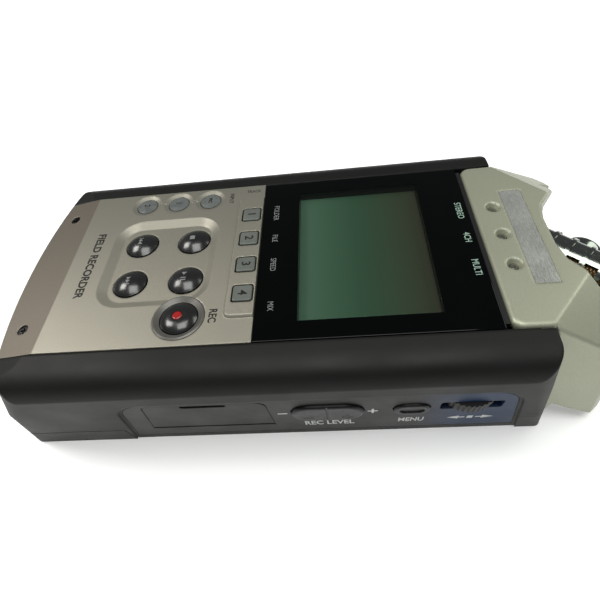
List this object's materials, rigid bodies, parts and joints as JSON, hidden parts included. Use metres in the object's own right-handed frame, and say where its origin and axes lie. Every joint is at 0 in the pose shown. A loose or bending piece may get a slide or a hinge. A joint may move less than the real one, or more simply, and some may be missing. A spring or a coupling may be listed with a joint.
{
  "type": "portable field recorder",
  "caption": "Handheld stereo field recorder with crossed turning microphone capsules, display, transport keys, side controls and two input sockets.",
  "frame": {"origin": "on the surface that the back rests on, under the middle of the overall width and length", "axes": "+Z out of the control face, +Y towards the microphones, +X towards the flank with the level rocker and scroll dial"},
  "size_m": [0.0698, 0.157, 0.036],
  "materials": {
    "case_black": "satin moulded plastic with a soft-touch coat",
    "rear_black": "fine textured moulded plastic",
    "silver_paint": "satin silver paint with fine metallic grain",
    "panel_grey": "satin dark grey-brown plastic",
    "window": "glossy dark acrylic",
    "lcd": "grey-green reflective liquid crystal",
    "key_black": "domed glossy black plastic",
    "key_grey": "translucent grey silicone",
    "rubber": "matt silicone",
    "chrome": "polished plating",
    "mesh": "fine woven metal mesh",
    "steel": "brushed",
    "brass": "machined",
    "board": "solder-masked board",
    "inner_black": "moulded",
    "lens_red": "translucent red",
    "lens_clear": "translucent smoky",
    "ring_grey": "satin grey",
    "cell_wrap": "plain printed sleeve"
  },
  "bodies": {
    "case": {"mid_frame": "case_black", "rear_cover": "rear_black", "front_cover": "silver_paint", "right_control_panel": "panel_grey", "left_control_panel": "panel_grey", "display_window": "window", "lcd_panel": "lcd", "lcd_bezel": "inner_black", "key_board": "board", "keypad_membrane": "rubber", "head_housing": "silver_paint", "head_rear_cover": "rear_black", "nameplate": "chrome", "mode_led_lenses": "lens_clear", "mic_collars": "inner_black", "record_ring": "ring_grey", "sd_socket": "steel", "sd_card": "inner_black", "phones_jack": "inner_black", "usb_socket": "steel", "dc_jack": "inner_black", "input_jack_shells": "inner_black", "input_jack_inserts": "inner_black", "main_board": "board", "battery_tray": "inner_black", "batteries": "cell_wrap", "speaker": "inner_black", "tripod_insert": "brass", "face_screws": "steel", "rear_screws": "steel"},
    "mic_left": {"mic_barrel_left": "chrome", "mic_mesh_left": "mesh", "mic_element_left": "brass"},
    "mic_right": {"mic_barrel_right": "chrome", "mic_mesh_right": "mesh", "mic_element_right": "brass"},
    "record_key": {"record_button": "key_black", "record_lens": "lens_red"},
    "rewind_button": {"rewind_button": "key_black"},
    "stop_button": {"stop_button": "key_black"},
    "forward_button": {"forward_button": "key_black"},
    "play_pause_button": {"play_pause_button": "key_black"},
    "input_button_mic": {"input_button_mic": "key_grey"},
    "input_button_1": {"input_button_1": "key_grey"},
    "input_button_2": {"input_button_2": "key_grey"},
    "track_key_1": {"track_key_1": "key_grey"},
    "track_key_2": {"track_key_2": "key_grey"},
    "track_key_3": {"track_key_3": "key_grey"},
    "track_key_4": {"track_key_4": "key_grey"},
    "rec_level_rocker": {"rec_level_rocker": "key_black"},
    "volume_rocker": {"volume_rocker": "key_black"},
    "menu_button": {"menu_button": "key_black"},
    "scroll_dial": {"scroll_dial": "inner_black"},
    "dial_bracket": {"dial_bracket": "steel"},
    "sd_door": {"sd_door": "panel_grey"},
    "power_switch": {"power_switch": "key_black"},
    "battery_door": {"battery_door": "rear_black"}
  },
  "joints": [
    {"name": "record_key_press", "type": "slide", "parent": "case", "child": "record_key", "axis": [0, 0, -1], "range_m": [0, 0.0006], "stiffness_N_per_m": 600},
    {"name": "rewind_button_press", "type": "slide", "parent": "case", "child": "rewind_button", "axis": [0, 0, -1], "range_m": [0, 0.0006], "stiffness_N_per_m": 600},
    {"name": "stop_button_press", "type": "slide", "parent": "case", "child": "stop_button", "axis": [0, 0, -1], "range_m": [0, 0.0006], "stiffness_N_per_m": 600},
    {"name": "forward_button_press", "type": "slide", "parent": "case", "child": "forward_button", "axis": [0, 0, -1], "range_m": [0, 0.0006], "stiffness_N_per_m": 600},
    {"name": "play_pause_button_press", "type": "slide", "parent": "case", "child": "play_pause_button", "axis": [0, 0, -1], "range_m": [0, 0.0006], "stiffness_N_per_m": 600},
    {"name": "input_button_mic_press", "type": "slide", "parent": "case", "child": "input_button_mic", "axis": [0, 0, -1], "range_m": [0, 0.0006], "stiffness_N_per_m": 600},
    {"name": "input_button_1_press", "type": "slide", "parent": "case", "child": "input_button_1", "axis": [0, 0, -1], "range_m": [0, 0.0006], "stiffness_N_per_m": 600},
    {"name": "input_button_2_press", "type": "slide", "parent": "case", "child": "input_button_2", "axis": [0, 0, -1], "range_m": [0, 0.0006], "stiffness_N_per_m": 600},
    {"name": "track_key_1_press", "type": "slide", "parent": "case", "child": "track_key_1", "axis": [0, 0, -1], "range_m": [0, 0.0006], "stiffness_N_per_m": 600},
    {"name": "track_key_2_press", "type": "slide", "parent": "case", "child": "track_key_2", "axis": [0, 0, -1], "range_m": [0, 0.0006], "stiffness_N_per_m": 600},
    {"name": "track_key_3_press", "type": "slide", "parent": "case", "child": "track_key_3", "axis": [0, 0, -1], "range_m": [0, 0.0006], "stiffness_N_per_m": 600},
    {"name": "track_key_4_press", "type": "slide", "parent": "case", "child": "track_key_4", "axis": [0, 0, -1], "range_m": [0, 0.0006], "stiffness_N_per_m": 600},
    {"name": "menu_button_press", "type": "slide", "parent": "case", "child": "menu_button", "axis": [-0.9931, 0, 0.1172], "range_m": [0, 0.0005], "stiffness_N_per_m": 600},
    {"name": "dial_press", "type": "slide", "parent": "case", "child": "dial_bracket", "axis": [-0.9931, 0, 0.1172], "range_m": [0, 0.0005], "stiffness_N_per_m": 800},
    {"name": "dial_turn", "type": "hinge", "parent": "dial_bracket", "child": "scroll_dial", "pos_m": [0.02723, 0.0331, 0.01761], "axis": [0.1172, 0, 0.9931], "continuous": true},
    {"name": "rec_level_rock", "type": "hinge", "parent": "case", "child": "rec_level_rocker", "pos_m": [0.03132, 0.0018, 0.01642], "axis": [0.1172, 0, 0.9931], "range_deg": [-3.5, 3.5], "stiffness_Nm_per_rad": 0.02},
    {"name": "volume_rock", "type": "hinge", "parent": "case", "child": "volume_rocker", "pos_m": [-0.03143, 0.02, 0.01732], "axis": [-0.1172, 0, 0.9931], "range_deg": [-3.5, 3.5], "stiffness_Nm_per_rad": 0.02},
    {"name": "sd_door_hinge", "type": "hinge", "parent": "case", "child": "sd_door", "pos_m": [0.03128, -0.025, 0.00877], "axis": [0, 1, 0], "range_deg": [0, 100]},
    {"name": "battery_door_slide", "type": "slide", "parent": "case", "child": "battery_door", "axis": [0, -1, 0], "range_m": [0, 0.008]},
    {"name": "power_slide", "type": "slide", "parent": "case", "child": "power_switch", "axis": [0, 1, 0], "range_m": [-0.0022, 0.0022]},
    {"name": "mic_left_turn", "type": "hinge", "parent": "case", "child": "mic_left", "pos_m": [-0.0074, 0.0532, 0.024], "axis": [0.7934, 0.6088, 0], "range_deg": [0, 180]},
    {"name": "mic_right_turn", "type": "hinge", "parent": "case", "child": "mic_right", "pos_m": [0.0074, 0.0532, 0.0112], "axis": [-0.7934, 0.6088, 0], "range_deg": [0, 180]}
  ]
}
